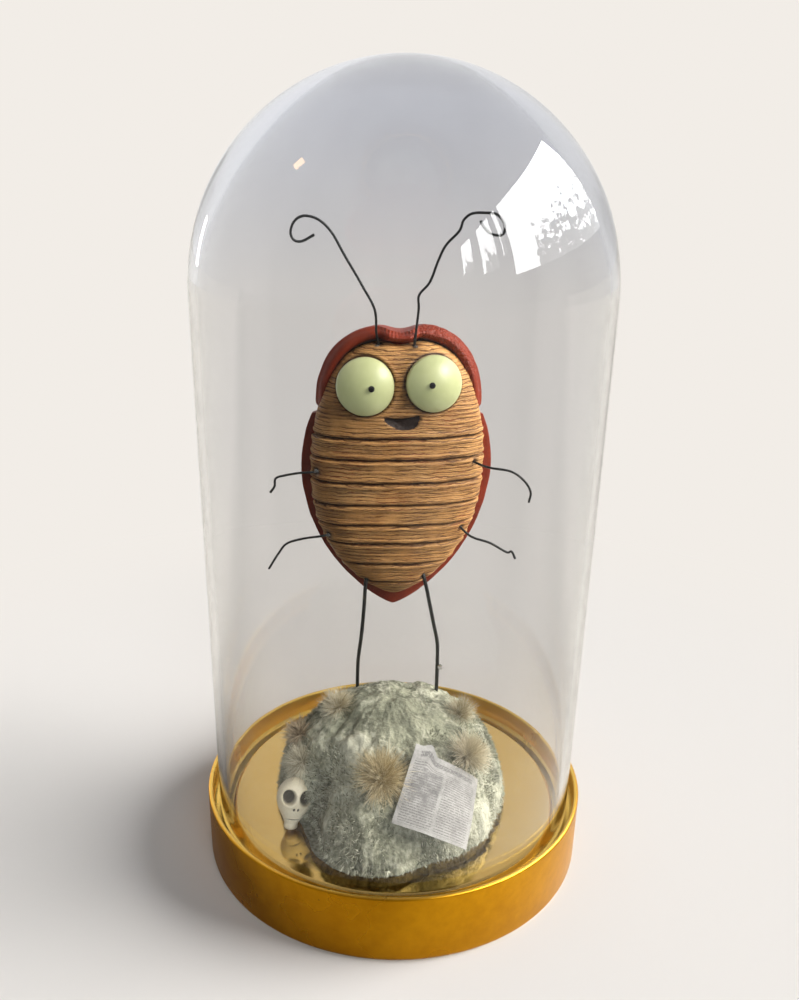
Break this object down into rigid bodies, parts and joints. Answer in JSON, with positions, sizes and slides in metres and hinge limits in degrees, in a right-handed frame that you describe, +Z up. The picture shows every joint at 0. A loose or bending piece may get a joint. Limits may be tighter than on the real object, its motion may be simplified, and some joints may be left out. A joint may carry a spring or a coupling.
{
  "type": "clay insect figure in a glass dome",
  "caption": "Display bell on a round metal base, holding a standing clay cockroach figure on a crusted rock with dry grass, a skull bead and a newspaper scrap.",
  "frame": {"origin": "centre of the base's underside, on the surface that the object stands on", "axes": "+Z up along the bell's axis, -Y towards the viewer whom the figure faces, +X to the viewer's right"},
  "size_m": [0.12, 0.12, 0.2317],
  "materials": {
    "polished_brass": "spun metal with a gold finish, polished floor and satin outer wall",
    "clear_glass": "clear blown glass, smooth",
    "grey_green_crust": "dry granular crust",
    "dry_grass": "dry fibres",
    "cream_stone": "tumbled stone with brown in its hollows",
    "printed_paper": "thin uncoated paper with grey print",
    "tan_clay": "scored clay, matt, with dark brown in the scores",
    "red_brown_clay": "smooth clay with a soft sheen",
    "dark_brown_clay": "glossy",
    "pale_green_eye": "glossy, domed",
    "black_bead": "glossy",
    "black_wire": "black coated craft wire"
  },
  "bodies": {
    "root": {"base_tray": "polished_brass", "glass_dome": "clear_glass", "mound": "grey_green_crust", "skull_bead": "cream_stone", "newspaper": "printed_paper", "body": "tan_clay", "pronotum": "red_brown_clay", "wing_cases": "red_brown_clay", "mouth": "dark_brown_clay", "eye_left": "pale_green_eye", "eye_right": "pale_green_eye", "pupil_left": "black_bead", "pupil_right": "black_bead", "grass_tuft_1": "dry_grass", "grass_tuft_2": "dry_grass", "grass_tuft_3": "dry_grass", "grass_tuft_4": "dry_grass", "grass_tuft_5": "dry_grass", "grass_tuft_6": "dry_grass", "antenna_left": "black_wire", "antenna_right": "black_wire", "arm_upper_left": "black_wire", "arm_upper_right": "black_wire", "arm_lower_left": "black_wire", "arm_lower_right": "black_wire", "leg_left": "black_wire", "leg_right": "black_wire"}
  },
  "joints": []
}
